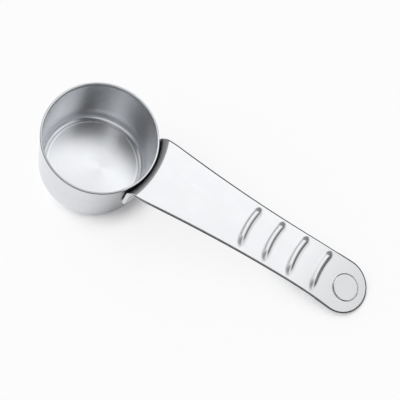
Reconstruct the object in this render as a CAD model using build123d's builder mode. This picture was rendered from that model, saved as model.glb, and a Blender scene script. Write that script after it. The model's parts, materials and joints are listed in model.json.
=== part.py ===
"""Stainless steel coffee scoop of two tablespoons, lying as it rests when empty.

A drawn cup, a pressed sheet handle whose root is turned down and shaped to the cup's wall, and the
weld nuggets that join them.  Millimetres.  +Z is up, z = 0 is the table, +X runs along the handle.
Empty, the scoop tips towards its handle, so the cup's base corner and the handle's tip touch the
table.  The pieces are drawn square to the cup, in the scoop's own planes, and these planes lean.
"""

import os
from math import asin, atan2, cos, degrees, hypot, radians, sin, sqrt, tan

from build123d import *

# Cup
rim_radius = 20.5  # outside of the mouth
cup_taper = 1.35  # by which the outer radius is smaller at the level that the cup stands on
cup_height = 27.0  # from the rim down to that level
cup_wall = 0.7
corner_radius = 1.8  # outside, from wall to base
lip_round = 0.3  # both edges of the rim
panel_inset = 2.95  # from that smaller radius in to the flat of the pressed-up base panel
panel_lift = 0.4
panel_step_run = 0.6  # width of the slope at the panel's edge
panel_step_round = 0.3  # inside of both bends of that slope

# Handle
sheet = 1.2
handle_length = 85.8  # from the rim to the tip
root_level = 0.07  # of the top face above the rim, at the rim's radius
handle_fall = 3.1  # slope of the straight run, in degrees
droop_length = 28.3  # from the tip back to where the straight run starts to bow down
droop_radius = 129.0
waist_half_width = 9.3
waist_inset = 28.3  # from the tip back to the narrowest place
root_half_width = 12.2  # the widest, from where both long edges run hollow to the waist and on
root_outset = 1.3  # from the rim out to that widest place
shoulder_radius = 30.0  # in plan, by which the edges draw in again towards the cup
edge_round = 0.35
bend_inside = 1.2  # the root's bend, on the underside
flange_drop = 14.5  # from the rim's level down to the lower edge of the turned-down flange
flange_corner = 1.8  # of its rounded lower corners

# Grip ribs, pressed up
rib_count = 4
rib_inset = 19.35  # from the tip back to the crest of the last rib
rib_pitch = 9.55
rib_arc_radius = 30.0  # in plan, hollow towards the tip
rib_half_length = 7.6  # with its round ends
rib_width = 2.4
rib_height = 0.45

# Flat disc pressed up near the tip
disc_inset = 8.2  # from the tip back to its centre
disc_radius = 4.6
disc_height = 0.3
disc_slope_run = 0.25  # width of the slope round it

# Spot welds
weld_count = 3
weld_spread = 22.0  # degrees round the cup from one to the next
weld_depth = 8.0  # below the rim's level
weld_radius = 1.5
weld_bite = 0.35  # into the cup's wall
weld_dimple = 0.15  # left by the electrode in the flange's outer face

overrun = 5.0  # by which cutting shapes pass what they cut


# The cup's cone
base_radius = rim_radius - cup_taper
draft = atan2(cup_taper, cup_height)
wall_run = cup_wall / cos(draft)
sheet_run = sheet / cos(draft)


def cone_radius(level):
    """Outer radius of the cup's wall at a level measured up from the rim."""
    return rim_radius + level * tan(draft)


# The handle's side view: places along it from the cup's axis, levels from the rim
fall = radians(handle_fall)
handle_reach = rim_radius + handle_length
droop_start = handle_reach - droop_length
waist_place = handle_reach - waist_inset


def run_level(place):
    """Level of the straight run's top face."""
    return root_level - (place - rim_radius) * tan(fall)


droop_centre_x = droop_start - droop_radius * sin(fall)
droop_centre_level = run_level(droop_start) - droop_radius * cos(fall)


def top_point(place):
    """Level and downward slope, in radians, of the top face at a place along the handle."""
    if place < droop_start:
        return run_level(place), fall
    slope = asin((place - droop_centre_x) / droop_radius)
    return droop_centre_level + droop_radius * cos(slope), slope


# How the scoop rests: one line touches the base's corner and the rounded lower edge of the tip
corner_x = cone_radius(corner_radius - cup_height) - corner_radius / cos(draft)
corner_level = corner_radius - cup_height
tip_x = handle_reach - edge_round
under_radius = droop_radius - sheet + edge_round
tip_under_level = droop_centre_level + sqrt(under_radius**2 - (tip_x - droop_centre_x) ** 2)
over_radius = droop_radius - edge_round
tip_over_level = droop_centre_level + sqrt(over_radius**2 - (tip_x - droop_centre_x) ** 2)
reach_x = tip_x - corner_x
rise = tip_under_level - corner_level
lean = asin((corner_radius - edge_round) / hypot(reach_x, rise)) + atan2(rise, reach_x)

# The rim's centre, so that the box's bottom centre is the origin
low_x = -corner_x * cos(lean) + corner_level * sin(lean) - corner_radius
high_x = tip_x * cos(lean) + tip_over_level * sin(lean) + edge_round
rim_height = corner_radius + corner_x * sin(lean) - corner_level * cos(lean)
rim_centre = Vector(-(low_x + high_x) / 2, 0, rim_height)

# The scoop's own planes: plan at the rim, and the upright section through cup and handle
along = Vector(cos(lean), 0, -sin(lean))
upward = Vector(sin(lean), 0, cos(lean))
plan = Plane(origin=rim_centre, x_dir=along, z_dir=upward)
section = Plane(origin=rim_centre, x_dir=along, z_dir=(0, -1, 0))
cup_axis = Axis(rim_centre, upward)


def face_plane(place, depth=0.0):
    """Plane in the handle's top face at a place along it, sunk by a depth."""
    level, slope = top_point(place)
    centre = rim_centre + along * place + upward * level
    across = Vector(0, 1, 0)
    run = along * cos(slope) - upward * sin(slope)
    return Plane(origin=centre, x_dir=run, z_dir=run.cross(across)).offset(-depth)


def weld_plane(number):
    """Plane on the cup's outer wall at one weld, facing out."""
    angle = radians(weld_spread) * (number - (weld_count - 1) / 2)
    outward = along * cos(angle) + Vector(0, 1, 0) * sin(angle)
    centre = rim_centre + outward * cone_radius(-weld_depth) - upward * weld_depth
    return Plane(origin=centre, x_dir=upward, z_dir=outward * cos(draft) - upward * sin(draft))


weld_planes = [weld_plane(number) for number in range(weld_count)]


# Cup: one drawn shell, with a pressed-up panel inside the ring that it stands on
floor_level = cup_wall - cup_height
panel_radius = base_radius - panel_inset
step_shift = cup_wall * tan(atan2(panel_lift, panel_step_run) / 2)
ring_start = panel_radius + panel_step_run
inner_corner_x = cone_radius(floor_level) - wall_run
step_bend = panel_step_round + cup_wall

with BuildPart() as cup:
    with BuildSketch(section):
        with BuildLine():
            Polyline(
                (0, panel_lift - cup_height),
                (panel_radius, panel_lift - cup_height),
                (ring_start, -cup_height),
                (base_radius, -cup_height),
                (rim_radius, 0),
                (rim_radius - wall_run, 0),
                (inner_corner_x, floor_level),
                (ring_start + step_shift, floor_level),
                (panel_radius + step_shift, floor_level + panel_lift),
                (0, floor_level + panel_lift),
                close=True,
            )
        make_face()
        bends = [
            (base_radius, -cup_height, corner_radius),
            (inner_corner_x, floor_level, corner_radius - cup_wall),
            (panel_radius, panel_lift - cup_height, panel_step_round),
            (panel_radius + step_shift, floor_level + panel_lift, step_bend),
            (ring_start, -cup_height, step_bend),
            (ring_start + step_shift, floor_level, panel_step_round),
            (rim_radius, 0, lip_round),
            (rim_radius - wall_run, 0, lip_round),
        ]
        for bend_x, bend_level, bend_radius in bends:
            fillet(vertices().sort_by_distance((bend_x, bend_level, 0))[0], bend_radius)
    revolve(axis=cup_axis)
    for seat in weld_planes:
        with BuildSketch(seat):
            Circle(weld_radius)
        extrude(amount=-weld_bite, mode=Mode.SUBTRACT)


# Handle outline in plan: round shoulders, two hollow edges and a round tip, each smooth to the next
hollow = root_half_width - waist_half_width
shoulder_x = rim_radius + root_outset
shoulder_y = root_half_width - shoulder_radius
centres_apart = ((waist_place - shoulder_x) ** 2 + hollow**2) / (2 * hollow)
edge_radius = centres_apart - shoulder_radius
edge_centre_y = waist_half_width + edge_radius
meet_x = shoulder_x + (waist_place - shoulder_x) * shoulder_radius / centres_apart
meet_y = shoulder_y + (edge_centre_y - shoulder_y) * shoulder_radius / centres_apart
start_x = shoulder_x - shoulder_radius / 2
start_y = shoulder_y + sqrt(shoulder_radius**2 - (shoulder_radius / 2) ** 2)
tip_radius = (waist_inset**2 + edge_centre_y**2 - edge_radius**2) / (2 * (waist_inset + edge_radius))
tip_centre_x = handle_reach - tip_radius
edge_turn = atan2(tip_centre_x - waist_place, edge_centre_y)
join_x = waist_place + edge_radius * sin(edge_turn)
join_y = edge_centre_y - edge_radius * cos(edge_turn)
droop_end = asin((handle_reach + overrun - droop_centre_x) / droop_radius)

# The root's bend: where its two corners would be if they were sharp, and the flange's lower edge
bend_outside = bend_inside + sheet
under_x = cone_radius(-sheet) + sheet_run
top_corner = rim_centre + along * rim_radius + upward * run_level(rim_radius)
under_corner = rim_centre + along * under_x + upward * (run_level(under_x) - sheet / cos(fall))
flange_foot = rim_centre + along * (cone_radius(-flange_drop) + sheet_run / 2) - upward * flange_drop

# Ribs: a round top, and under it a groove about the same centre, so the sheet keeps its thickness
crown_radius = ((rib_width / 2) ** 2 + rib_height**2) / (2 * rib_height)
crown_level = rib_height - crown_radius
groove_radius = crown_radius - sheet
rib_turn = asin((rib_half_length - rib_width / 2) / rib_arc_radius)
last_rib = handle_reach - rib_inset
rib_cuts = [(crown_radius, -sheet / 2, Mode.ADD), (groove_radius, crown_level, Mode.SUBTRACT)]

# Disc: the recess under it is smaller by what the bent sheet needs
disc_face = face_plane(handle_reach - disc_inset)
disc_slope = disc_slope_run / disc_height
recess_radius = disc_radius - sheet * tan(atan2(disc_height, disc_slope_run) / 2)
disc_root_radius = disc_radius + disc_slope * (disc_height + sheet / 2)
recess_mouth_radius = recess_radius + disc_slope * (disc_height + sheet / 2)


def rib_plane(face, turn):
    """Upright plane across a rib, at an angle from its crest about its arc's centre."""
    inward = face.x_dir * cos(turn) + face.y_dir * sin(turn)
    centre = face.origin + face.x_dir * rib_arc_radius
    return Plane(
        origin=centre - inward * rib_arc_radius, x_dir=inward, z_dir=inward.cross(face.z_dir)
    )


with BuildPart() as handle:
    with BuildSketch(section):
        with BuildLine():
            run = Line((0, run_level(0)), (droop_start, run_level(droop_start)))
            JernArc(run @ 1, run % 1, droop_radius, degrees(fall - droop_end))
            offset(amount=sheet, side=Side.RIGHT)
        make_face()
    extrude(amount=root_half_width + overrun, both=True)
    # The room for the cup, then the flange round it; the seams of both lie away from the handle
    with BuildSketch(section):
        with BuildLine():
            Polyline(
                (0, -cup_height),
                (-base_radius, -cup_height),
                (-cone_radius(overrun), overrun),
                (0, overrun),
                close=True,
            )
        make_face()
    revolve(axis=cup_axis, mode=Mode.SUBTRACT)
    with BuildSketch(section):
        with BuildLine():
            Polyline(
                (-cone_radius(-flange_drop), -flange_drop),
                (-cone_radius(-flange_drop) - sheet_run, -flange_drop),
                (-cone_radius(-sheet / 2) - sheet_run, -sheet / 2),
                (-cone_radius(-sheet / 2), -sheet / 2),
                close=True,
            )
        make_face()
    revolve(axis=cup_axis)
    with BuildSketch(plan):
        with BuildLine():
            Line((start_x, -start_y), (start_x, start_y))
            RadiusArc((start_x, start_y), (meet_x, meet_y), shoulder_radius)
            RadiusArc((meet_x, meet_y), (join_x, join_y), -edge_radius)
            ThreePointArc((join_x, join_y), (handle_reach, 0), (join_x, -join_y))
            RadiusArc((join_x, -join_y), (meet_x, -meet_y), -edge_radius)
            RadiusArc((meet_x, -meet_y), (start_x, -start_y), shoulder_radius)
        make_face()
    extrude(amount=cup_height, both=True, mode=Mode.INTERSECT)
    fillet(edges().sort_by_distance(top_corner)[0], bend_outside)
    fillet(edges().sort_by_distance(under_corner)[0], bend_inside)
    foot = faces().sort_by_distance(flange_foot)[0]
    fillet(foot.edges().sort_by(SortBy.LENGTH)[:2], flange_corner)
    # The sheared edge, all round: its faces stand square to the plan
    sheared = [side for side in faces() if abs(side.normal_at().dot(upward)) < tan(fall) / 2]
    rounded = [edge for side in sheared for edge in side.edges()]
    shared = [edge for edge in rounded if sum(edge.is_same(other) for other in rounded) > 1]
    fillet([edge for edge in rounded if edge not in shared], edge_round)
    # Ribs with round ends, and their grooves
    for place in [last_rib - rib_pitch * number for number in range(rib_count)]:
        face = face_plane(place)
        arc_axis = Axis(face.origin + face.x_dir * rib_arc_radius, face.z_dir)
        for round_radius, chord_level, cut in rib_cuts:
            chord_turn = degrees(asin((chord_level - crown_level) / round_radius))
            with BuildSketch(rib_plane(face, -rib_turn)):
                with BuildLine():
                    crown = CenterArc((0, crown_level), round_radius, chord_turn, 180 - 2 * chord_turn)
                    Line(crown @ 1, crown @ 0)
                make_face()
            revolve(axis=arc_axis, revolution_arc=2 * degrees(rib_turn), mode=cut)
            for turn in (-rib_turn, rib_turn):
                end = rib_plane(face, turn)
                with BuildSketch(end):
                    with BuildLine():
                        crown = CenterArc((0, crown_level), round_radius, chord_turn, 90 - chord_turn)
                        Polyline(crown @ 1, (0, chord_level), crown @ 0)
                    make_face()
                revolve(axis=Axis(end.origin, face.z_dir), mode=cut)
    # Disc and its recess
    with BuildSketch(disc_face.offset(-sheet / 2)):
        Circle(disc_root_radius)
    with BuildSketch(disc_face.offset(disc_height)):
        Circle(disc_radius)
    loft()
    with BuildSketch(disc_face.offset(-sheet - sheet / 2)):
        Circle(recess_mouth_radius)
    with BuildSketch(disc_face.offset(disc_height - sheet)):
        Circle(recess_radius)
    loft(mode=Mode.SUBTRACT)
    # Room for the weld nuggets
    for seat in weld_planes:
        with BuildSketch(seat):
            Circle(weld_radius)
        extrude(amount=overrun, both=True, mode=Mode.SUBTRACT)


# Weld nuggets: each fills its hole in the flange and a pocket in the cup's wall
with BuildPart() as spot_welds:
    for seat in weld_planes:
        with BuildSketch(seat.offset(-weld_bite)):
            Circle(weld_radius)
        extrude(amount=weld_bite + sheet - weld_dimple)


cup.part.label = "cup"
handle.part.label = "handle"
spot_welds.part.label = "spot_welds"

os.makedirs("parts", exist_ok=True)
export_step(cup.part, "parts/cup.step")
export_step(handle.part, "parts/handle.step")
export_step(spot_welds.part, "parts/spot_welds.step")
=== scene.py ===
"""Stainless steel coffee scoop: a drawn cup and a pressed, spot-welded handle on a white table.

The file is laid out as an add-on.  Each piece has its own operator, and the sizes, finishes and
studio settings that a user would change are property groups of the scene.  Lengths are metres.
Pieces are drawn in the scoop's own axes: x along the handle from the cup's axis, y across it and
the level above the rim's plane.  Those axes lean, because the empty scoop lies on its handle's tip.
"""

import json

import bpy
import numpy as np
from bpy.props import FloatProperty, FloatVectorProperty, IntProperty, PointerProperty
from bpy.types import Operator, Panel, PropertyGroup
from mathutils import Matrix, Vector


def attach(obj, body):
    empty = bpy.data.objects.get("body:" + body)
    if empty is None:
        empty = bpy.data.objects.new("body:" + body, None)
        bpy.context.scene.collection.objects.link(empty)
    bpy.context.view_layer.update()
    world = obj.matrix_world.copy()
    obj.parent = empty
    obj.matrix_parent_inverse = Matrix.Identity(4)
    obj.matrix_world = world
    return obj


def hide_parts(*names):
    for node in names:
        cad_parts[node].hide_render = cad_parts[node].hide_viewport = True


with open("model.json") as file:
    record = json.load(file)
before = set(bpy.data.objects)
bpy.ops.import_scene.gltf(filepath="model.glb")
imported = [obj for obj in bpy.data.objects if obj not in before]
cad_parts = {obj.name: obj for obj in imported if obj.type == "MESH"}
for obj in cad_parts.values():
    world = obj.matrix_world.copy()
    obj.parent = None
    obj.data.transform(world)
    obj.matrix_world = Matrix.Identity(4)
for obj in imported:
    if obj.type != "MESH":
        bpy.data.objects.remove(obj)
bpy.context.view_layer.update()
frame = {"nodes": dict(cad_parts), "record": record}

bl_info = {
    "name": "Coffee scoop",
    "version": (1, 0, 0),
    "blender": (4, 5, 0),
    "location": "3D View > Sidebar > Scoop",
    "description": "Builds a stainless steel coffee scoop, its table, its light and its camera",
    "category": "Object",
}

BASE_MOUNT = next(m for m in frame["record"]["mounts"] if m["name"] == "cup_base")
MM = 0.001

# Steps of the cup's surface
CUP_TURNS = 256  # round the cup
CORNER_STEPS = 10  # round each corner of its section
STRAIGHT_STEPS = 12  # along each straight of its section

# Where the cup is painted dark or dull, by painted reflections and painted shade; angles are
# degrees round the cup from the handle
LINE_DROP = 1.3  # of the outer lip line, in shares of the lip round's half
LINE_LEAN = 0.7  # by which that line drops more on the far side
INNER_LINE_DROP = 3.5
OUTER_LINE, INNER_LINE = 0.96, 0.8  # darkness of the two painted reflection lines along the lip
FLANGE_END, FLANGE_FADE = 36.0, 4.0  # where the flange ends, and over how much that fades
CREVICE_SHADE_FOOT, CREVICE_SHADE_FADE = -4.5 * MM, 2.0 * MM  # levels of the painted shade in the crevice by the flange
WALL_MARGIN = 0.1 * MM  # within which a point counts as on the outer wall
DULL_TOP = -0.6 * MM  # level below which the outer wall is dull
DULL_EVEN, NEAR_SHADE = 0.34, 1.25  # dull finish everywhere, and a painted reflected shadow on the near side by the handle
NEAR_START, NEAR_FULL = -100.0, -40.0  # between which that near side comes in

# Rows of the handle's surface: shares up the flange, fine over the welds, and counts of the rest
FLANGE_ROWS = np.concatenate(
    [np.linspace(0, 0.36, 5), np.linspace(0.36, 0.72, 35)[1:], [0.8, 0.9, 1.0]]
)
BEND_ROWS = 29
ROOT_ROWS = 26  # from the bend to the ribs
RIB_ROWS = 33
BETWEEN_ROWS = 10  # from one rib to the next
NECK_ROWS = 14  # from the ribs to the disc
DISC_ROWS = 52
TIP_ROWS = 16
RIB_REACH = 2.0 * MM  # of the fine rows to either side of a rib's crest
STRIPS = 120  # steps across the handle
EDGE_STEPS = 7  # steps of each quarter round of the sheared edge
SETTLING_ROUNDS = 12  # in which the angle round the cup settles

# What pressing and shearing leave on the handle, and the painted shade and reflections on it
GROOVE_INSET = 0.35  # share of the sheet by which a rib's groove is narrower at each side
MARK_MARGIN = 0.35 * MM  # from an electrode's tip out to the end of its mark's slope
MARK_SLOPE = 0.3 * MM  # width of that slope
MARK_CLEARANCE = 0.05 * MM  # by which the mark is sunk below the nugget's face
PROBE = 0.02 * MM  # half the distance over which the relief's slope is measured
BEND_PLACES = (1.0, 1.08, 1.15, 1.38, 1.48, 1.90, 1.98)  # shares of the root's bend
BEND_SHADES = (1.0, 1.0, 0.0, 0.0, 0.74, 0.68, 0.0)  # painted darkness at those places: dark and bright painted reflections on the bend
OUTER_SHADE = 0.45  # painted shade on the flange's outer face
ROLL_SHADE_START, ROLL_SHADE_LEAN, ROLL_SHADE_FADE = 20.0, 18.0, 10.0  # degrees of the top round, where its painted dark reflection starts
ROLL_SHADE_ROOT = 1.8 * MM  # beyond the rim, where the top round's painted dark reflection starts
EDGE_SHADE_FADE = 12.0 * MM  # beyond the rim, over which the rest of the edge darkens: dull sheared steel and painted reflected shadow

# Brushed grain: noise cells per metre along and across it, and how it is squeezed
CUP_GRAIN = (90.0, 90.0, 9000.0)
HANDLE_GRAIN = (90.0, 5200.0, 5200.0)
HANDLE_SQUEEZE = (1, 1, 0.3)
CLOUD_CELLS = 120.0
STREAK_TONE, CLOUD_TONE = 0.16, 0.08  # shares of the darker steel
DARKER = 0.82  # the darker steel's share of the colour
STREAK_ROUGHNESS, CLOUD_ROUGHNESS = 0.08, 0.05
PRESSED_AND_SHADE_SHARE = 0.4  # of the dull colour where the steel is pressed in full; it also paints shade on slopes and the near wall
PRESSED_ROUGHNESS, SHEARED_ROUGHNESS = 0.1, 0.2
GRAIN_DEPTH = 0.02 * MM
BRUSHED_ROUND = 0.25  # turn of the cup's stretched highlights
MOTTLE_CELLS, MOTTLE_DEPTH = 1800.0, 0.03 * MM  # of the electrode marks
MOTTLE_DARK, MOTTLE_LIGHT = 0.7, 1.2  # shares of their colour
MOTTLE_BUMP, MARK_ROUGHNESS, MOTTLE_ROUGHNESS = 0.3, 0.4, 0.2

# The table, and where the scoop's nearness takes its plain share away
TABLE_SIDE = 4.0  # metres
NEAR_SKY, OPEN_SKY = 0.46, 0.74  # shares of open sky, from none to all of the plain share
PLAIN_LEAST = 0.08
SKY_RAYS = 8

# The surroundings.  Edges are pairs of a direction's x, y or height: where a light is nothing,
# and where it is full.  Round patches have an aim and the degrees from it of the same two.
BOX_LEFT, BOX_RIGHT = (-0.54, -0.41), (1.0, 0.78)
BOX_NEAR, BOX_FAR = (-0.14, 0.46), (0.72, 0.50)
BOX_LOW = (0.15, 0.55)
BOX_FALL, BOX_FALL_SHARE = (0.70, 0.30), 0.32  # the softbox is dimmer by this share to the right
FAR_EDGE, FAR_SHARE = (0.62, 0.80), 0.35  # side light from the far side
WINDOW_NEAR, WINDOW_LOW = (-0.48, -0.66), (0.22, 0.48)
WALL_LEFT = (-0.78, -0.92)
GLOW_PATCH = (0.13, -0.34, 0.93), (9, 2)
LEFT_PATCH = (-0.68, -0.08, 0.73), (24, 12)
RIGHT_PATCH = (0.75, 0.02, 0.66), (19, 8)
LAMP_PATCH = (-0.70, -0.08, 0.71), (44, 8)

SENSOR_WIDTH = 36.0  # millimetres, the camera's
NEAREST, FARTHEST = 0.01, 20.0  # that the camera sees


def length(name, value_mm, description, least=0.0):
    """A length property whose default is given in millimetres."""
    kind = {"min": least, "unit": "LENGTH", "subtype": "DISTANCE"}
    return FloatProperty(name=name, description=description, default=value_mm * MM, **kind)


def angle(name, value_deg, description):
    """An angle property whose default is given in degrees."""
    kind = {"unit": "ROTATION", "subtype": "ANGLE"}
    return FloatProperty(name=name, description=description, default=np.radians(value_deg), **kind)


def colour(name, value, description):
    """A colour property."""
    kind = {"size": 3, "min": 0, "max": 1, "subtype": "COLOR"}
    return FloatVectorProperty(name=name, description=description, default=value, **kind)


def factor(name, value, description, high=1.0):
    """A plain number from nothing to a limit."""
    kind = {"min": 0, "max": high, "subtype": "FACTOR" if high == 1.0 else "NONE"}
    return FloatProperty(name=name, description=description, default=value, **kind)


class ScoopCupSizes(PropertyGroup):
    """Sizes of the drawn cup."""

    rim_radius: length("Rim radius", 20.5, "Outside of the mouth")
    # The lip line is the width of the painted reflections along both edges of the rim
    lip_line: length("Lip line", 0.27, "Width of the dull line along both edges of the rim")
    taper: length("Taper", 1.35, "By which the outer radius is smaller at the standing level")
    height: length("Height", 27.0, "From the rim down to the level that the cup stands on")
    wall: length("Wall", 0.7, "Thickness of the cup's sheet")
    corner_radius: length("Corner radius", 1.8, "Outside, from wall to base")
    lip_round: length("Lip round", 0.3, "Both edges of the rim")
    panel_inset: length("Panel inset", 2.95, "From the base radius in to the raised panel")
    panel_lift: length("Panel lift", 0.4, "By which the base panel is pressed up")
    panel_ridge: length("Panel ridge", 0.08, "Ridge round the panel's edge, inside")
    panel_ridge_run: length("Ridge run", 0.45, "Width of that ridge's inner slope")
    inner_corner: length("Inner corner", 2.0, "Inside, from the groove up into the wall")
    groove_rise: length("Groove rise", 0.1, "By which the inner corner starts above the sheet")
    corner_tilt: angle("Corner tilt", 26.0, "Slope at which the inner corner starts")
    panel_step_run: length("Panel step", 0.6, "Width of the slope at the panel's edge")
    panel_step_round: length("Panel round", 0.3, "Inside of both bends of that slope")


class ScoopHandleSizes(PropertyGroup):
    """Sizes of the pressed handle."""

    sheet: length("Sheet", 1.2, "Thickness of the handle")
    length: length("Length", 85.8, "From the rim to the tip")
    root_level: length("Root level", 0.07, "Height of the top face above the rim")
    fall: angle("Fall", 3.1, "Slope of the straight run")
    droop_length: length("Droop length", 28.3, "From the tip back to where the handle bows down")
    droop_radius: length("Droop radius", 129.0, "Radius of that bow")
    waist_half_width: length("Waist", 9.3, "Half of the narrowest width")
    waist_inset: length("Waist inset", 28.3, "From the tip back to the narrowest place")
    root_half_width: length("Root", 12.2, "Half of the greatest width, near the bend")
    root_outset: length("Root outset", 1.3, "From the rim out to that widest place")
    shoulder_radius: length("Shoulder", 30.0, "Radius in plan where the edges draw in to the cup")
    edge_roll: length("Edge roll", 0.6, "Width of the rolled-over edge")
    edge_round: length("Edge round", 0.32, "Depth of the rolled-over edge")
    bend_inside: length("Bend", 1.2, "Inside radius of the root's bend")
    flange_radius: length("Flange radius", 24.0, "In plan; wider than the cup, its ends stand off")
    bend_spread: length("Bend spread", 1.2, "By which the bend is wider at both ends")
    flange_drop: length("Flange", 14.5, "From the rim's level down to the flange's lower edge")
    flange_corner: length("Flange corner", 1.8, "Round of the flange's lower corners")


class ScoopReliefSizes(PropertyGroup):
    """Sizes of what is pressed into the handle."""

    rib_count: IntProperty(name="Ribs", description="Number of grip ribs", default=4, min=0)
    rib_inset: length("Rib inset", 19.1, "From the tip back to the crest of the last rib")
    rib_pitch: length("Rib pitch", 9.55, "From one rib to the next")
    rib_arc_radius: length("Rib arc", 30.0, "Radius of a rib in plan")
    rib_half_length: length("Rib half length", 8.65, "Half of a rib's length with its round ends")
    rib_near_run: length("Near run-out", 5.0, "Over which a rib sinks at its end on one edge")
    rib_far_run: length("Far run-out", 2.7, "Over which a rib sinks at its other end")
    rib_width: length("Rib width", 3.4, "Width of a rib at its foot")
    rib_height: length("Rib height", 0.56, "Height of a rib's crest")
    disc_inset: length("Disc inset", 7.95, "From the tip back to the disc's centre")
    disc_radius: length("Disc radius", 4.6, "Radius of the raised disc")
    disc_height: length("Disc height", 0.3, "Height of the disc above the sheet")
    disc_slope_run: length("Disc slope", 0.25, "Width of the slope round the disc")
    weld_spread: angle("Weld spread", 22.0, "Round the cup from one weld to the next")
    weld_count: IntProperty(name="Welds", description="Number of spot welds", default=3, min=0)
    weld_depth: length("Weld depth", 8.0, "Below the rim's level")
    weld_radius: length("Weld radius", 1.5, "Radius of an electrode's mark")
    weld_dimple: length("Weld dimple", 0.2, "Depth of an electrode's mark")


class ScoopFinishes(PropertyGroup):
    """Colours and polish of the steel."""

    cup_colour: colour("Cup", (0.85, 0.866, 0.893), "Steel of the cup")
    handle_colour: colour("Handle", (0.84, 0.85, 0.87), "Steel of the handle")
    weld_colour: colour("Welds", (0.42, 0.41, 0.41), "Dull steel of the electrode marks")
    # Also paints shade: it darkens the relief's slopes and the cup's near side
    press_and_shade_colour: colour("Pressed", (0.20, 0.21, 0.22), "Steel that pressing has stretched dull")
    # Also the colour of painted shade and painted reflections: lip lines, crevice, bend bands,
    # flange face, edges
    shear_and_shade_colour: colour("Sheared edge", (0.07, 0.07, 0.075), "Steel of the raw sheared edge")
    cup_brushing: factor("Cup brushing", 0.6, "By which highlights stretch across the cup's grain")
    cup_roughness: factor("Cup roughness", 0.25, "Roughness of the cup")
    handle_roughness: factor("Handle roughness", 0.24, "Roughness of the handle")
    grain: factor("Grain", 0.12, "Strength of the brushed grain")


class ScoopStudio(PropertyGroup):
    """Table, light and camera."""

    floor_colour: colour("Table", (0.97, 0.97, 0.975), "Colour of the table as the camera sees it")
    plain_share: factor("Plain share", 0.78, "Share of the table's look that no shadow falls on")
    plain_reach: length("Plain reach", 14.0, "From the scoop, within which that share is less")
    bounce: factor("Bounce", 0.80, "How much light the table sends back")
    lamp: factor("Lamp", 3.57, "Broad light from the upper left on matt surfaces", 20.0)
    fill: factor("Fill", 0.36, "Even light on matt surfaces", 5.0)
    softbox: factor("Softbox", 1.27, "Brightness of the overhead softbox", 20.0)
    window: factor("Window", 1.05, "Brightness of the window low behind the camera", 20.0)
    sides: factor("Side lights", 0.7, "Brightness of the patches left, right and far", 20.0)
    glow: factor("Glow", 0.9, "Brightness of the small patch round the camera", 20.0)
    wall: factor("Wall", 0.8, "Brightness of the pale wall low down on the left", 20.0)
    gloom: factor("Gloom", 0.045, "Brightness of the rest of the room", 20.0)
    lens: FloatProperty(
        name="Lens", description="Focal length of the camera", default=126, min=1, unit="CAMERA"
    )
    distance: length("Distance", 500.35, "From the camera to what it points at")
    azimuth: angle("Azimuth", -28.11, "Direction that the camera looks in, from +Y towards +X")
    elevation: angle("Elevation", 65.47, "Of the camera above the table")
    aim_x: length("Aim X", -4.74, "Place along the handle that the camera points at", -1.0)
    aim_y: length("Aim Y", 7.43, "Place across the handle that the camera points at", -1.0)


# ---- The scoop's axes


def scoop_axes():
    """The rim's centre and the three unit axes of the scoop: along the handle, across it and up."""
    sizes = bpy.context.scene.scoop_cup
    upward = -np.array(BASE_MOUNT["axis"])
    upward /= np.linalg.norm(upward)
    across = np.array([0.0, 1.0, 0.0])
    along = np.cross(across, upward)
    rim_centre = np.array(BASE_MOUNT["pos_m"]) + upward * sizes.height
    return rim_centre, along, across, upward


def placed(x, y, level):
    """Points given in the scoop's axes, as an array of places in the frame."""
    rim_centre, along, across, upward = scoop_axes()
    steps = (x, along), (y, across), (level, upward)
    return rim_centre + sum(np.multiply.outer(np.asarray(by), axis) for by, axis in steps)


def cup_draft():
    """Angle by which the cup's wall leans from its axis."""
    sizes = bpy.context.scene.scoop_cup
    return np.arctan2(sizes.taper, sizes.height)


def cone_radius(level):
    """Outer radius of the cup at a level: the rim's, plus the level times the draft's tangent."""
    return bpy.context.scene.scoop_cup.rim_radius + level * np.tan(cup_draft())


# ---- Meshes


def new_piece(name, points, faces, attributes, material, replaced):
    """A smooth mesh object at the origin, riding on the scoop's body in place of its CAD node."""
    mesh = bpy.data.meshes.new(name)
    mesh.from_pydata(points.tolist(), [], faces)
    for title, values in attributes.items():
        kind, key = ("FLOAT", "value") if values.ndim == 1 else ("FLOAT_VECTOR", "vector")
        layer = mesh.attributes.new(title, kind, "POINT")
        layer.data.foreach_set(key, np.asarray(values, dtype=np.float32).ravel())
    mesh.polygons.foreach_set("use_smooth", [True] * len(mesh.polygons))
    mesh.update()
    mesh.materials.append(material)
    piece = bpy.data.objects.new(name, mesh)
    bpy.context.collection.objects.link(piece)
    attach(piece, "root")
    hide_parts(replaced)


def smooth(share):
    """A smooth step: three times the share's square less twice its cube, from 0 to 1."""
    share = np.clip(share, 0, 1)
    return share * share * (3 - 2 * share)


def grid_faces(index):
    """Quads between neighbouring rows and columns of an array of vertex numbers."""
    corners = [index[:-1, :-1], index[:-1, 1:], index[1:, 1:], index[1:, :-1]]
    return np.stack([c.ravel() for c in corners], axis=1)


def unit(steps):
    """Rows of steps brought to the length of one."""
    return steps / np.linalg.norm(steps, axis=1, keepdims=True)


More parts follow.
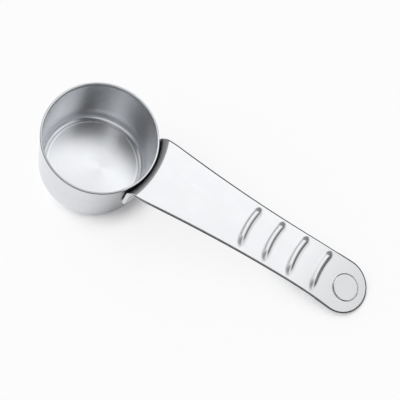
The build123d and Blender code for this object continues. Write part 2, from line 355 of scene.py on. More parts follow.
def rounded_profile(corners, radii, arc_steps, straight_steps):
    """A polyline with its corners rounded.

    Each corner's arc touches both of its straight runs, at the radius times the tangent of half
    the turn from the corner.  Points along a straight run are crowded towards both of its ends.
    """
    corners = np.asarray(corners, dtype=float)
    before, after = unit(corners[1:-1] - corners[:-2]), unit(corners[2:] - corners[1:-1])
    crossed = before[:, 0] * after[:, 1] - before[:, 1] * after[:, 0]
    turn = np.arctan2(crossed, (before * after).sum(1))
    radii = np.asarray(radii, dtype=float)
    reach = radii * np.tan(np.abs(turn) / 2)
    starts = corners[1:-1] - before * reach[:, None]
    ends = corners[1:-1] + after * reach[:, None]
    left = np.stack([-before[:, 1], before[:, 0]], axis=1)
    inward = left * (radii * np.sign(turn))[:, None]
    sweep = np.linspace(0, 1, arc_steps + 1)[None, :] * turn[:, None]
    spoke = -inward
    arcs = (starts + inward)[:, None, :] + np.stack(
        [
            spoke[:, None, 0] * np.cos(sweep) - spoke[:, None, 1] * np.sin(sweep),
            spoke[:, None, 0] * np.sin(sweep) + spoke[:, None, 1] * np.cos(sweep),
        ],
        axis=2,
    )
    share = (1 - np.cos(np.linspace(0, np.pi, straight_steps + 1))) / 2
    run_starts = np.vstack([corners[:1], ends])
    run_ends = np.vstack([starts, corners[-1:]])
    runs = run_starts[:, None, :] + (run_ends - run_starts)[:, None, :] * share[None, :, None]
    pieces = [runs[0]]
    for arc, run in zip(arcs, runs[1:]):
        pieces += [arc[1:-1], run]
    return np.vstack(pieces)


def turned(profile, steps):
    """A closed surface of revolution about the cup's axis.

    The profile starts and ends on the axis, and each of its other points becomes a circle:
    x is the radius times the cosine of the turn, y the radius times its sine.
    """
    radius, level = profile[1:-1, 0], profile[1:-1, 1]
    turn = np.linspace(0, 2 * np.pi, steps, endpoint=False)
    x = np.multiply.outer(radius, np.cos(turn))
    y = np.multiply.outer(radius, np.sin(turn))
    z = np.repeat(level[:, None], steps, axis=1)
    points = np.vstack(
        [
            np.stack([x, y, z], axis=2).reshape(-1, 3),
            [[0, 0, profile[0, 1]], [0, 0, profile[-1, 1]]],
        ]
    )
    index = np.arange(x.size).reshape(x.shape)
    index = np.hstack([index, index[:, :1]])
    faces = grid_faces(index).tolist()
    first, last = x.size, x.size + 1
    faces += np.stack([np.full(steps, first), index[0, 1:], index[0, :-1]], axis=1).tolist()
    faces += np.stack([np.full(steps, last), index[-1, :-1], index[-1, 1:]], axis=1).tolist()
    return points, faces


# ---- The cup


def cup_profile():
    """The cup's section as radius and level: out underneath, up the wall and back inside.

    Straight lines join its corners, and each corner is rounded.  The inner corner starts above the
    floor's groove and climbs at its own tilt until it meets the inner wall.
    """
    s = bpy.context.scene.scoop_cup
    draft = cup_draft()
    wall_run = s.wall / np.cos(draft)
    floor = s.wall - s.height
    under_panel, over_panel = s.panel_lift - s.height, floor + s.panel_lift
    base = cone_radius(-s.height)
    panel = base - s.panel_inset
    ring = panel + s.panel_step_run
    shift = s.wall * np.tan(np.arctan2(s.panel_lift, s.panel_step_run) / 2)
    outer_bend = s.panel_step_round + s.wall
    groove = np.array([ring + shift, floor + s.groove_rise])
    tilt = np.tan(s.corner_tilt)
    gap = cone_radius(groove[1]) - wall_run - groove[0]
    reach = gap / (1 - tilt * np.tan(draft))
    corners = [
        (0, under_panel),
        (panel, under_panel),
        (ring, -s.height),
        (base, -s.height),
        (s.rim_radius, 0),
        (s.rim_radius - wall_run, 0),
        groove + (reach, reach * tilt),
        groove,
        (panel + shift, over_panel + s.panel_ridge),
        (panel + shift - s.panel_ridge_run, over_panel),
        (0, over_panel),
    ]
    radii = [s.panel_step_round, outer_bend, s.corner_radius, s.lip_round, s.lip_round]
    radii += [s.inner_corner, s.panel_ridge, s.panel_step_round, s.panel_step_round]
    return rounded_profile(corners, radii, CORNER_STEPS, STRAIGHT_STEPS)


def cup_dullness_and_shade(points):
    """How dull and how dark the cup is painted at its points, from 0 up.

    Dull: the outer wall, by an even share and by the cube of a ramp that rises round the near side
    towards the handle, which is a painted reflected shadow.  Dark: painted reflections,
    exp(-(d / width)^2) of the distance d from the line along each edge of the rim, and painted
    shade in the crevice between the wall and the flange.
    """
    sizes = bpy.context.scene.scoop_cup
    radius, level = np.hypot(points[:, 0], points[:, 1]), points[:, 2]
    turn = np.degrees(np.arctan2(points[:, 1], points[:, 0]))
    outside = radius > cone_radius(level) - WALL_MARGIN
    free = np.clip((np.abs(turn) - FLANGE_END) / FLANGE_FADE, 0, 1)
    sink = sizes.lip_round / 2
    drop = sink * (LINE_DROP + LINE_LEAN * points[:, 1] / np.maximum(radius, MM))
    outer = np.hypot(radius - sizes.rim_radius, level + drop) / sizes.lip_line
    inner_edge = sizes.rim_radius - sizes.wall
    inner = np.hypot(radius - inner_edge, level + INNER_LINE_DROP * sink) / sizes.lip_line
    # Painted shade in the crevice between the wall and the flange
    crevice_shade = np.clip((level - CREVICE_SHADE_FOOT) / CREVICE_SHADE_FADE, 0, 1) * (level < -sizes.lip_round)
    # Painted reflections: a dark line along each edge of the lip
    dark = OUTER_LINE * np.exp(-(outer**2)) * free + INNER_LINE * np.exp(-(inner**2))
    dark = np.minimum(dark + crevice_shade * outside * (1 - free), 1)
    # Painted reflected shadow on the near side by the handle, over the dull finish
    near = np.clip((turn - NEAR_START) / (NEAR_FULL - NEAR_START), 0, 1) * (turn < 0)
    dull_and_shade = outside * (level < DULL_TOP) * (DULL_EVEN + NEAR_SHADE * near**3)
    return dull_and_shade, dark


class SCOOP_OT_drawn_cup(Operator):
    """Builds the drawn cup in place of its CAD node"""

    bl_idname = "scoop.drawn_cup"
    bl_label = "Drawn cup"

    def execute(self, context):
        profile = cup_profile()
        points, faces = turned(profile, CUP_TURNS)
        run = np.concatenate([[0], np.cumsum(np.linalg.norm(np.diff(profile, axis=0), axis=1))])
        run = np.concatenate([np.repeat(run[1:-1], CUP_TURNS), run[[0, -1]]])
        grain = np.stack([points[:, 0], points[:, 1], run], axis=1)
        dull_and_shade, dark = cup_dullness_and_shade(points)
        new_piece(
            "drawn_cup",
            placed(*points.T),
            faces,
            {"grain": grain, "pressed": dull_and_shade, "sheared": dark},
            satin_steel("cup", CUP_GRAIN),
            "cup",
        )
        return {"FINISHED"}


# ---- The handle


class HandleForm:
    """The handle's surface as functions of a place across it and a place along it."""

    def __init__(self):
        scene = bpy.context.scene
        self.cup, self.s, self.r = scene.scoop_cup, scene.scoop_handle, scene.scoop_relief
        s = self.s
        self.draft = cup_draft()
        self.reach = self.cup.rim_radius + s.length
        self.droop_start = self.reach - s.droop_length
        self.droop_x = self.droop_start - s.droop_radius * np.sin(s.fall)
        self.droop_level = self.run_level(self.droop_start) - s.droop_radius * np.cos(s.fall)
        self.waist = self.reach - s.waist_inset
        hollow = s.root_half_width - s.waist_half_width
        self.shoulder_x = self.cup.rim_radius + s.root_outset
        apart = ((self.waist - self.shoulder_x) ** 2 + hollow**2) / (2 * hollow)
        self.edge_radius = apart - s.shoulder_radius
        self.edge_y = s.waist_half_width + self.edge_radius
        self.meet_x = self.shoulder_x + (self.waist - self.shoulder_x) * s.shoulder_radius / apart
        self.tip_radius = (s.waist_inset**2 + self.edge_y**2 - self.edge_radius**2) / (
            2 * (s.waist_inset + self.edge_radius)
        )
        self.tip_x = self.reach - self.tip_radius

    def run_level(self, x):
        """Level of the straight run: it falls from the root by the slope's tangent."""
        return self.s.root_level - (x - self.cup.rim_radius) * np.tan(self.s.fall)

    def half_width(self, x, trim):
        """Half the width: the shoulder's circle, then a hollow arc, held at its value at the tip.

        The shoulder's circle and the hollow arc touch where the line through their centres cuts
        them.  Both are moved in by the trim.
        """
        s = self.s
        away = np.minimum(x, self.tip_x) - self.waist
        hollow = self.edge_y - np.sqrt((self.edge_radius + trim) ** 2 - away**2)
        near = np.minimum(x, self.meet_x) - self.shoulder_x
        round_off = np.sqrt(np.maximum((s.shoulder_radius - trim) ** 2 - near**2, 0))
        shoulder = s.root_half_width - s.shoulder_radius + round_off
        return np.where(x < self.meet_x, shoulder, hollow)

    def sheet_level(self, x, depth):
        """Level of a layer of the sheet: the straight run sunk by the depth, then a circle."""
        radius = self.s.droop_radius - depth
        straight = self.run_level(x) - depth / np.cos(self.s.fall)
        bowed = self.droop_level + np.sqrt(np.maximum(radius**2 - (x - self.droop_x) ** 2, 0))
        return np.where(x < self.droop_x + radius * np.sin(self.s.fall), straight, bowed)

    def slope(self, x):
        """Downward slope of the sheet."""
        bowed = np.arcsin(np.clip((x - self.droop_x) / self.s.droop_radius, -1, 1))
        return np.maximum(bowed, self.s.fall)

    def gape(self, phi):
        """Room between the flange and the wall at an angle: from the wall to a wider circle.

        The wider circle touches the wall in the middle, so its centre lies behind the cup's axis
        by the difference of the two radii.
        """
        rim, wide = self.cup.rim_radius, self.s.flange_radius
        behind = wide - rim
        return np.sqrt(wide**2 - (behind * np.sin(phi)) ** 2) - behind * np.cos(phi) - rim

    def spread(self, phi):
        """By which the bend is wider at an angle: nothing in the middle, in full at both ends."""
        full = 1 - np.sqrt(1 - (self.s.root_half_width / self.cup.rim_radius) ** 2)
        return self.s.bend_spread * np.minimum((1 - np.cos(phi)) / full, 1)

    def root_bend(self, phi, depth, bend):
        """Centre and end angles of the root's bend in the upright plane at an angle round the cup.

        The centre lies a bend radius inside both the flange's line, which leans by the draft, and
        the run's line, which falls by the slope's tangent times the cosine of the angle.
        """
        side = (depth + bend) / np.cos(self.draft) + self.gape(phi)
        fall = np.cos(phi) * np.tan(self.s.fall)
        drop = bend * np.sqrt(1 + fall**2) + depth / np.cos(self.s.fall)
        rim = self.cup.rim_radius
        level = self.s.root_level + rim * np.tan(self.s.fall) - drop - fall * (rim + side)
        level = level / (1 + fall * np.tan(self.draft))
        radius = rim + level * np.tan(self.draft) + side
        return radius, level, np.pi - self.draft, np.pi / 2 - np.arctan(fall)

    def root(self, tau, share, depth, bend, trim):
        """The flange, for shares up to 1, and the bend, for shares from 1 to 2.

        At a share the radius and level follow the flange's cone or the bend's circle.  The angle
        round the cup is the one whose sine times the radius is the strip's place across.
        """
        across = np.sin(np.pi / 2 * tau)
        phi = np.arcsin(across * (self.s.root_half_width - trim) / self.cup.rim_radius)
        for _ in range(SETTLING_ROUNDS):
            wide = bend + self.spread(phi)
            centre_r, centre_l, first, last = self.root_bend(phi, depth, wide)
            touch = centre_l + wide * np.sin(first)
            x = (cone_radius(touch) + self.gape(phi)) * np.cos(phi)
            width = self.half_width(x, trim)
            corner = self.s.flange_corner - trim
            past = np.clip(np.abs(across * width) - (width - corner), 0, corner)
            low = trim - self.s.flange_drop + corner - np.sqrt(corner**2 - past**2)
            level = low + (touch - low) * np.minimum(share, 1)
            turn = first + (last - first) * np.clip(share - 1, 0, 1)
            radius = np.where(
                share <= 1,
                cone_radius(level) + self.gape(phi) + depth / np.cos(self.draft),
                centre_r + wide * np.cos(turn),
            )
            level = np.where(share <= 1, level, centre_l + wide * np.sin(turn))
            y = across * self.half_width(radius * np.cos(phi), trim)
            phi = np.arcsin(np.clip(y / radius, -1, 1))
        return radius * np.cos(phi), radius * np.sin(phi), level

    def rib_crest(self, number):
        """Place of a rib's crest, counted back from the tip."""
        return self.reach - self.r.rib_inset - self.r.rib_pitch * number

    def row_places(self):
        """Places along the middle of the run: fine over the ribs and the disc, coarser between."""
        r = self.r
        start = self.cup.rim_radius + self.s.bend_inside + self.s.sheet
        ribs = self.rib_crest(r.rib_count - 1) - RIB_REACH
        places = [start + np.linspace(0, 1, ROOT_ROWS)[1:] * (ribs - start)]
        for number in reversed(range(r.rib_count)):
            crest = self.rib_crest(number)
            places.append(crest + np.linspace(-RIB_REACH, RIB_REACH, RIB_ROWS))
            if number:
                after = self.rib_crest(number - 1) - RIB_REACH
                places.append(np.linspace(crest + RIB_REACH, after, BETWEEN_ROWS)[1:-1])
        disc = self.reach - r.disc_inset
        rim = r.disc_radius + r.disc_slope_run
        places.append(np.linspace(self.rib_crest(0) + RIB_REACH, disc - rim, NECK_ROWS)[1:-1])
        places.append(np.linspace(disc - rim, disc + rim, DISC_ROWS))
        places.append(np.linspace(disc + rim, self.reach, TIP_ROWS)[1:])
        return np.unique(np.round(np.concatenate(places), 7))

    def run(self, tau, places, depth, bend, trim):
        """The flat run and the droop, from the bend's end to the round tip.

        Each row bows with the bend at the root, with the ribs' arcs over the ribs, and with the
        tip's circle at the end; between them the bow goes over in a straight share.
        """
        across = np.sin(np.pi / 2 * tau)
        root_x, _, _ = self.root(tau, np.full_like(tau, 2.0), depth, bend, trim)
        root_mid = root_x[:, root_x.shape[1] // 2][:, None]
        end = (self.tip_radius - trim) * np.sqrt(np.maximum(1 - across**2, 0))
        y_rib = across * self.s.waist_half_width
        rib_bow = self.r.rib_arc_radius - np.sqrt(self.r.rib_arc_radius**2 - y_rib**2)
        first = self.rib_crest(self.r.rib_count - 1) - RIB_REACH
        last = self.rib_crest(0) + RIB_REACH
        middle = root_mid + (self.reach - trim - root_mid) * places
        from_root = np.clip((first - middle) / (first - root_mid), 0, 1)
        to_tip = np.clip((middle - last) / (self.reach - trim - last), 0, 1)
        bow = from_root * (root_x - root_mid) + (1 - from_root - to_tip) * rib_bow
        x = middle + bow + to_tip * (end - (self.tip_radius - trim))
        return x, across * self.half_width(x, trim), self.sheet_level(x, depth)

    def crown(self, away, half, height):
        """Height of a soft ridge: one wave of the cosine over its width, and nothing outside it."""
        return height / 2 * (1 + np.cos(np.pi * np.clip(away / half, 0, 1)))

    def relief(self, x, y, under):
        """Height pressed up at a place by the ribs and the disc; both are narrower underneath.

        A rib is an arc in plan.  Beyond its full part the distance along the arc is stretched so
        that the ridge's own wave brings it down over the run-out.  The disc's side is a smooth
        step, and its top stays flat while the sheet droops.
        """
        r, s = self.r, self.s
        half = r.rib_width / 2 - (GROOVE_INSET * s.sheet if under else 0)
        runs = r.rib_near_run, r.rib_far_run
        near, far = ((r.rib_half_length - run) / r.rib_arc_radius for run in runs)
        height = np.zeros_like(x)
        for number in range(r.rib_count):
            crest = self.rib_crest(number)
            dx = r.rib_arc_radius - (x - crest) / np.cos(self.slope(crest))
            turn = np.arctan2(y, dx)
            past = (turn - np.clip(turn, -near, far)) * r.rib_arc_radius
            past = past * r.rib_width / 2 / np.where(turn < 0, *runs)
            away = np.hypot(np.hypot(dx, y) - r.rib_arc_radius, past)
            height += self.crown(away, half, r.rib_height)
        disc = self.reach - r.disc_inset
        dx = (x - disc) / np.cos(self.slope(disc))
        side = np.arctan2(r.disc_height, r.disc_slope_run)
        inner = r.disc_radius - (s.sheet * np.tan(side / 2) if under else 0)
        share = (inner + r.disc_slope_run - np.hypot(dx, y)) / r.disc_slope_run
        flat = r.disc_height + dx**2 / (2 * s.droop_radius)
        return height + smooth(share) * flat

    def dimples(self, x, y, level):
        """Depth of the electrodes' round marks on the flange's outer face: a smooth step."""
        r = self.r
        phi = np.arctan2(y, x)
        depth = np.zeros_like(x)
        for number in range(r.weld_count):
            mid = r.weld_spread * (number - (r.weld_count - 1) / 2)
            away = np.hypot((phi - mid) * cone_radius(-r.weld_depth), level + r.weld_depth)
            share = (r.weld_radius + MARK_MARGIN - away) / MARK_SLOPE
            depth += smooth(share) * (r.weld_dimple + MARK_CLEARANCE + self.gape(phi))
        return depth

    def skin(self, under, trim):
        """One face of the sheet as arrays over rows and strips.

        They are x, y, level, the steepness of what is pressed into it, and its painted darkness.
        On top the flange is painted dark and the bend follows its table of painted shades and
        reflections.
        Underneath both are half dark with painted shade, and the bend fades out.
        """
        s = self.s
        depth = s.sheet if under else 0.0
        bend = s.bend_inside + (0.0 if under else s.sheet)
        tau = np.linspace(-1, 1, STRIPS + 1)[None, :]
        flange = FLANGE_ROWS[:, None] + 0 * tau
        arc = 1 + np.linspace(0, 1, BEND_ROWS)[1:, None] + 0 * tau
        places = self.row_places()
        places = ((places - places[0]) / (places[-1] - places[0]))[1:, None] + 0 * tau
        x1, y1, l1 = self.root(tau, flange, depth, bend, trim)
        x2, y2, l2 = self.root(tau, arc, depth, bend, trim)
        x3, y3, l3 = self.run(tau, places, depth, bend, trim)
        if under:
            sunk = self.dimples(x1, y1, l1)
            away = np.hypot(x1, y1)
            x1, y1 = x1 - sunk * x1 / away, y1 - sunk * y1 / away
        lift = self.relief(x3, y3, under)
        # The relief's steepness darkens its slopes in the material: dull pressed steel and painted
        # shade
        steep = np.hypot(
            self.relief(x3 + PROBE, y3, under) - self.relief(x3 - PROBE, y3, under),
            self.relief(x3, y3 + PROBE, under) - self.relief(x3, y3 - PROBE, under),
        ) / (2 * PROBE)
        slope = self.slope(x3)
        x3, l3 = x3 + lift * np.sin(slope), l3 + lift * np.cos(slope)
        steep = np.vstack([0 * x1, 0 * x2, steep])
        # Painted shade and painted reflections on the flange and the bend
        on_flange, on_bend = 1.0, np.interp(arc, BEND_PLACES, BEND_SHADES)
        if under:
            on_flange, on_bend = OUTER_SHADE, OUTER_SHADE * (2 - arc)
        shade = np.vstack([on_flange + 0 * x1, on_bend, 0 * x3])
        spots = (x1, x2, x3), (y1, y2, y3), (l1, l2, l3)
        return (*(np.vstack(rows) for rows in spots), steep, shade)


def ring_of(index):
    """The vertex numbers round the border of a grid, in order."""
    return np.concatenate([index[0, :-1], index[:-1, -1], index[-1, :0:-1], index[:0:-1, 0]])


class SheetMetal:
    """The points, faces and attributes of a piece of sheet, taken in grid by grid."""

    def __init__(self):
        self.points, self.faces, self.steep, self.shade = np.empty((0, 3)), [], [], []

    def take(self, points, steep, shade):
        """Takes in a grid of points with its attributes, and returns its vertex numbers."""
        index = len(self.points) + np.arange(shade.size).reshape(shade.shape)
        self.points = np.vstack([self.points, points.reshape(-1, 3)])
        self.steep.append(steep.ravel())
        self.shade.append(shade.ravel())
        return index


def quarter_round(form, border, corner, sink, upper):
    """A quarter round from a face's border out to the sheet's side, with its painted darkness.

    At a turn it is the edge roll times the turn's sine out from the border, and the sink times one
    minus its cosine towards the other face.  The upper one darkens with a painted dark reflection
    from a turn that is smaller on the far side.  The lower one, and the last row of the upper,
    darken along the handle: dull sheared steel with a painted reflected shadow.
    """
    turns = np.linspace(0, np.pi / 2, EDGE_STEPS + 1)[1:]
    turns = turns if upper else turns[::-1]
    out = unit(corner - border) * form.s.edge_roll
    outward, inward = np.sin(turns)[:, None, None], (1 - np.cos(turns))[:, None, None]
    points = border + out * outward + sink * inward
    away = np.hypot(points[..., 0], points[..., 1]) - form.cup.rim_radius
    # Painted reflected shadow: the edge darkens along the handle away from the rim
    shade = np.clip(away / EDGE_SHADE_FADE, 0, 1)
    if upper:
        side = np.clip(points[..., 1] / form.s.waist_half_width, -1, 1)
        # Painted dark reflection on the top round, starting sooner on the far side
        first = np.radians(ROLL_SHADE_START - ROLL_SHADE_LEAN * side)
        roll_shade = np.clip((turns[:, None] - first) / np.radians(ROLL_SHADE_FADE), 0, 1)
        roll_shade = roll_shade * np.clip((away - ROLL_SHADE_ROOT) / MM, 0, 1)
        shade[:-1] = roll_shade[:-1]
    return points, shade


class SCOOP_OT_pressed_handle(Operator):
    """Builds the handle with its flange, ribs and disc in place of its CAD node"""

    bl_idname = "scoop.pressed_handle"
    bl_label = "Pressed handle"

    def execute(self, context):
        form, sheet = HandleForm(), SheetMetal()
        borders, corners = [], []
        for under in (False, True):
            *spot, steep, shade = form.skin(under, form.s.edge_roll)
            index = sheet.take(np.stack(spot, axis=2), steep, shade)
            quads = grid_faces(index)
            sheet.faces.append(quads[:, ::-1] if under else quads)
            borders.append(ring_of(index))
            sharp = np.stack(form.skin(under, 0.0)[:3], axis=2).reshape(-1, 3)
            corners.append(sharp[ring_of(index) - index[0, 0]])
        over, below = (sheet.points[border] for border in borders)
        down = unit(below - over) * form.s.edge_round
        top, top_shade = quarter_round(form, over, corners[0], down, True)
        low, low_shade = quarter_round(form, below, corners[1], -down, False)
        top = sheet.take(top, 0 * top_shade, top_shade)
        low = sheet.take(low, 0 * low_shade, low_shade)
        rows = np.vstack([borders[0], top, low, borders[1]])
        sheet.faces.append(grid_faces(np.hstack([rows, rows[:, :1]]))[:, ::-1])
        new_piece(
            "pressed_handle",
            placed(*sheet.points.T),
            np.vstack(sheet.faces).tolist(),
            {
                "grain": sheet.points * HANDLE_SQUEEZE,
                "pressed": np.concatenate(sheet.steep),
                "sheared": np.concatenate(sheet.shade),
            },
            satin_steel("handle", HANDLE_GRAIN),
            "handle",
        )
        return {"FINISHED"}


# ---- Materials


class Signal:
    """A shader socket that arithmetic can be done on: each operation adds its own node."""

    def __init__(self, book, socket):
        self.book, self.socket = book, socket

    def _math(self, operation, first, second):
        flat = self.socket.type not in ("VECTOR", "RGBA")
        kind = "Math" if flat else "VectorMath"
        return self.book.node(kind, {0: first, 1: second}, {"operation": operation})

    def __add__(self, other):
        return self._math("ADD", self, other)

    def __rsub__(self, other):
        return self._math("SUBTRACT", other, self)

    def __mul__(self, other):
        return self._math("MULTIPLY", self, other)

    def stepped(self, low, high):
        """A smooth step from 0 to 1 as this value goes from one limit to the other."""
        inputs = {"Value": self, "From Min": low, "From Max": high}
        return self.book.node("MapRange", inputs, {"interpolation_type": "SMOOTHSTEP"})

    def clamped(self, low, high):
        """This value held between two others."""
        return self._math("MINIMUM", self._math("MAXIMUM", self, low), high)


class NodeBook:
    """The node tree of one material or of the world."""

    def __init__(self, owner):
        owner.use_nodes = True
        self.owner, self.tree = owner, owner.node_tree
        self.tree.nodes.clear()

    def node(self, kind, inputs=None, settings=None, output=0):
        """Adds a node, sets it up, then gives its sockets values or links; returns one output."""
        node = self.tree.nodes.new("ShaderNode" + kind)
        for key, value in (settings or {}).items():
            setattr(node, key, value)
        for key, value in (inputs or {}).items():
            if isinstance(value, Signal):
                self.tree.links.new(value.socket, node.inputs[key])
            else:
                node.inputs[key].default_value = value
        return Signal(self, node.outputs[output]) if len(node.outputs) else None

    def mix_colour(self, share, first, second):
        """A colour between two others."""
        settings = {"data_type": "RGBA", "clamp_factor": True}
        return self.node("Mix", {0: share, 6: first, 7: second}, settings, 2)

    def noise(self, place, cells, detail):
        """A soft noise over a place, from 0 to 1."""
        return self.node("TexNoise", {"Vector": place, "Scale": cells, "Detail": detail})

    def steel(self, base, roughness, relief, strength, depth, brushing=None):
        """Ends the tree with bare steel that a relief makes uneven."""
        bump = self.node("Bump", {"Strength": strength, "Distance": depth, "Height": relief})
        look = {"Base Color": base, "Metallic": 1.0, "Roughness": roughness, "Normal": bump}
        shader = self.node("BsdfPrincipled", look | (brushing or {}))
        self.node("OutputMaterial", {"Surface": shader})


def opaque(rgb):
    """A colour with full alpha."""
    return (*rgb, 1.0)


def satin_steel(part, grain_cells):
    """Finely brushed steel: streaks from noise stretched along the grain, duller where pressed, and
    darkened by painted shade and painted reflections where its attributes say.

    The cup's highlights are stretched too, because its grain runs round it.
    """
    f = bpy.context.scene.scoop_finish
    steel = getattr(f, part + "_colour")
    roughness = getattr(f, part + "_roughness") - (STREAK_ROUGHNESS + CLOUD_ROUGHNESS) / 2
    book = NodeBook(bpy.data.materials.new(part + "_steel"))
    grain, pressed, sheared = (
        book.node("Attribute", {}, {"attribute_name": title}, output)
        for title, output in (("grain", 1), ("pressed", 2), ("sheared", 2))
    )
    streaks = book.noise(grain * grain_cells, 1.0, 3.0)
    cloud = book.noise(grain, CLOUD_CELLS, 2.0)
    tone = streaks * STREAK_TONE + cloud * CLOUD_TONE
    base = book.mix_colour(tone, opaque(steel), opaque([c * DARKER for c in steel]))
    # Painted shade: the dull colour also darkens the relief's slopes and the cup's near side
    dull_and_shade = (pressed * PRESSED_AND_SHADE_SHARE).clamped(0.0, 1.0)
    base = book.mix_colour(dull_and_shade, base, opaque(f.press_and_shade_colour))
    # Painted shade and painted reflections: lines along the lip and the edges, the crevice, the
    # bend's bands, the flange's face
    base = book.mix_colour(sheared, base, opaque(f.shear_and_shade_colour))
    satin = streaks * STREAK_ROUGHNESS + cloud * CLOUD_ROUGHNESS + roughness
    satin = satin + dull_and_shade * PRESSED_ROUGHNESS + sheared * SHEARED_ROUGHNESS
    brushing = {"Anisotropic": f.cup_brushing, "Anisotropic Rotation": BRUSHED_ROUND}
    brushing = brushing if part == "cup" else None
    book.steel(base, satin, streaks, f.grain, GRAIN_DEPTH, brushing)
    return book.owner


def electrode_mark():
    """Dull, slightly tinted steel of a spot weld, mottled by a soft noise."""
    weld = bpy.context.scene.scoop_finish.weld_colour
    book = NodeBook(bpy.data.materials.new("weld_steel"))
    mottle = book.noise(book.node("TexCoord", output=3), MOTTLE_CELLS, 4.0)
    dark, light = (opaque([c * share for c in weld]) for share in (MOTTLE_DARK, MOTTLE_LIGHT))
    base = book.mix_colour(mottle, dark, light)
    roughness = mottle * MOTTLE_ROUGHNESS + MARK_ROUGHNESS
    book.steel(base, roughness, mottle, MOTTLE_BUMP, MOTTLE_DEPTH)
    return book.owner


class SCOOP_OT_weld_marks(Operator):
    """Gives the weld nuggets the dull finish of electrode marks"""

    bl_idname = "scoop.weld_marks"
    bl_label = "Weld marks"

    def execute(self, context):
        nuggets = frame["nodes"]["spot_welds"]
        nuggets.data.materials.clear()
        nuggets.data.materials.append(electrode_mark())
        return {"FINISHED"}


# ---- The studio


def shown_rays(book):
    """1 for rays that show the surroundings: from the camera, or off polished or clear things."""
    rays = "Is Camera Ray", "Is Glossy Ray", "Is Transmission Ray"
    camera, glossy, clear = (book.node("LightPath", output=name) for name in rays)
    return (camera + glossy + clear).clamped(0.0, 1.0)


def white_table():
    """The plain white table, a square through the origin that isn't part of the scoop."""
    half = TABLE_SIDE / 2
    mesh = bpy.data.meshes.new("table")
    corners = [(-half, -half, 0), (half, -half, 0), (half, half, 0), (-half, half, 0)]
    mesh.from_pydata(corners, [], [(0, 1, 2, 3)])
    mesh.materials.append(table_material())
    table = bpy.data.objects.new("table", mesh)
    bpy.context.collection.objects.link(table)


def table_material():
    """White table that keeps the scoop's shadow.

    Rays that show it see part of its colour plain and the rest of it lit.  The plain part is
    largest in the open, and falls by a smooth step of the share of open sky as the scoop covers
    it.  Other rays get a little less light back.
    """
    s = bpy.context.scene.scoop_studio
    book = NodeBook(bpy.data.materials.new("table_white"))
    shown = shown_rays(book)
    dim = book.node("BsdfDiffuse", {"Color": opaque([s.bounce] * 3)})
    pale = book.node("BsdfDiffuse", {"Color": opaque(s.floor_colour)})
    lit = book.node("MixShader", {0: shown, 1: dim, 2: pale})
    plain = book.node("Emission", {"Color": opaque(s.floor_colour), "Strength": 1.0})
    rays = {"samples": SKY_RAYS}
    sky = book.node("AmbientOcclusion", {"Distance": s.plain_reach}, rays, 1)
    share = shown * (sky.stepped(NEAR_SKY, OPEN_SKY) * s.plain_share + PLAIN_LEAST)
    shader = book.node("MixShader", {0: share, 1: lit, 2: plain})
    book.node("OutputMaterial", {"Surface": shader})
    return book.owner


def sky_patch(book, direction, aim, reach):
    """A round patch of sky about an aim: nothing outside one angle and full inside another."""
    aim = np.array(aim) / np.linalg.norm(aim)
    near = book.node("VectorMath", {0: direction, 1: aim}, {"operation": "DOT_PRODUCT"}, 1)
    return near.stepped(*np.cos(np.radians(reach)))


def studio_world():
    """The surroundings that polished steel shows, and a plainer light for matt surfaces.

    What is shown is a softbox overhead, the product of smooth steps of the direction's x, y and
    height, with a window low behind the camera, a pale wall on the left, soft patches left, right
    and far, a small glow by the camera and an even gloom.  Matt surfaces get one broad round
    patch and an even fill.
    """
    s = bpy.context.scene.scoop_studio
    book = NodeBook(bpy.data.worlds.new("studio"))
    bpy.context.scene.world = book.owner
    direction = book.node("TexCoord")
    x, y, height = (book.node("SeparateXYZ", {0: direction}, output=n) for n in range(3))
    box = y.stepped(*BOX_NEAR) * y.stepped(*BOX_FAR) * height.stepped(*BOX_LOW)
    box = box * x.stepped(*BOX_LEFT) * x.stepped(*BOX_RIGHT)
    box = box * (x.stepped(*BOX_FALL) * BOX_FALL_SHARE + (1 - BOX_FALL_SHARE))
    sides = sky_patch(book, direction, *LEFT_PATCH) + sky_patch(book, direction, *RIGHT_PATCH)
    sides = sides + y.stepped(*FAR_EDGE) * FAR_SHARE
    window = y.stepped(*WINDOW_NEAR) * height.stepped(*WINDOW_LOW)
    studio = box * s.softbox + window * s.window + x.stepped(*WALL_LEFT) * s.wall
    studio = studio + sides * s.sides + sky_patch(book, direction, *GLOW_PATCH) * s.glow + s.gloom
    lamp = sky_patch(book, direction, *LAMP_PATCH) * s.lamp + s.fill
    shown = shown_rays(book)
    strength = shown * studio + (1.0 - shown) * lamp
    backdrop = book.node("Background", {"Color": opaque((1, 1, 1)), "Strength": strength})
    book.node("OutputWorld", {"Surface": backdrop})


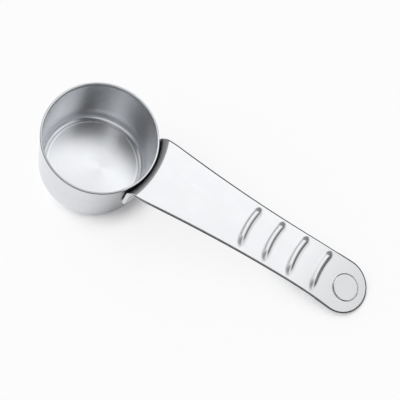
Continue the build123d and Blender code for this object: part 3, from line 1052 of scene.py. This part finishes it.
class SCOOP_OT_studio(Operator):
    """Sets out the table, the surroundings that light the scoop, and the camera"""

    bl_idname = "scoop.studio"
    bl_label = "Studio"

    def execute(self, context):
        scene = context.scene
        s = scene.scoop_studio
        white_table()
        studio_world()
        turn, ahead = s.azimuth, np.cos(s.elevation)
        forward = np.array([ahead * np.sin(turn), ahead * np.cos(turn), -np.sin(s.elevation)])
        camera = bpy.data.objects.new("camera", bpy.data.cameras.new("camera"))
        scene.collection.objects.link(camera)
        camera.data.lens, camera.data.sensor_width = s.lens, SENSOR_WIDTH
        camera.data.clip_start, camera.data.clip_end = NEAREST, FARTHEST
        camera.location = np.array([s.aim_x, s.aim_y, 0.0]) - forward * s.distance
        camera.rotation_euler = Vector(forward).to_track_quat("-Z", "Y").to_euler()
        scene.camera = camera
        scene.view_settings.view_transform = "Standard"
        return {"FINISHED"}


class SCOOP_PT_panel(Panel):
    """Lists the scoop's pieces and its studio, and then their sizes, finishes and light"""

    bl_idname = "SCOOP_PT_panel"
    bl_label = "Coffee scoop"
    bl_space_type = "VIEW_3D"
    bl_region_type = "UI"
    bl_category = "Scoop"

    def draw(self, context):
        for operator in OPERATORS:
            self.layout.operator(operator.bl_idname)
        for name, group in GROUPS.items():
            box = self.layout.box()
            box.label(text=group.__doc__)
            for field in group.__annotations__:
                box.prop(getattr(context.scene, name), field)


OPERATORS = (SCOOP_OT_drawn_cup, SCOOP_OT_pressed_handle, SCOOP_OT_weld_marks, SCOOP_OT_studio)
GROUPS = {
    "scoop_cup": ScoopCupSizes,
    "scoop_handle": ScoopHandleSizes,
    "scoop_relief": ScoopReliefSizes,
    "scoop_finish": ScoopFinishes,
    "scoop_studio": ScoopStudio,
}


def register():
    for group in (*GROUPS.values(), *OPERATORS, SCOOP_PT_panel):
        bpy.utils.register_class(group)
    for name, group in GROUPS.items():
        setattr(bpy.types.Scene, name, PointerProperty(type=group))


def unregister():
    for name in GROUPS:
        delattr(bpy.types.Scene, name)
    for group in (SCOOP_PT_panel, *OPERATORS[::-1], *GROUPS.values()):
        bpy.utils.unregister_class(group)


def main():
    register()
    bpy.ops.scoop.drawn_cup()
    bpy.ops.scoop.pressed_handle()
    bpy.ops.scoop.weld_marks()
    bpy.ops.scoop.studio()


if __name__ == "__main__":
    main()
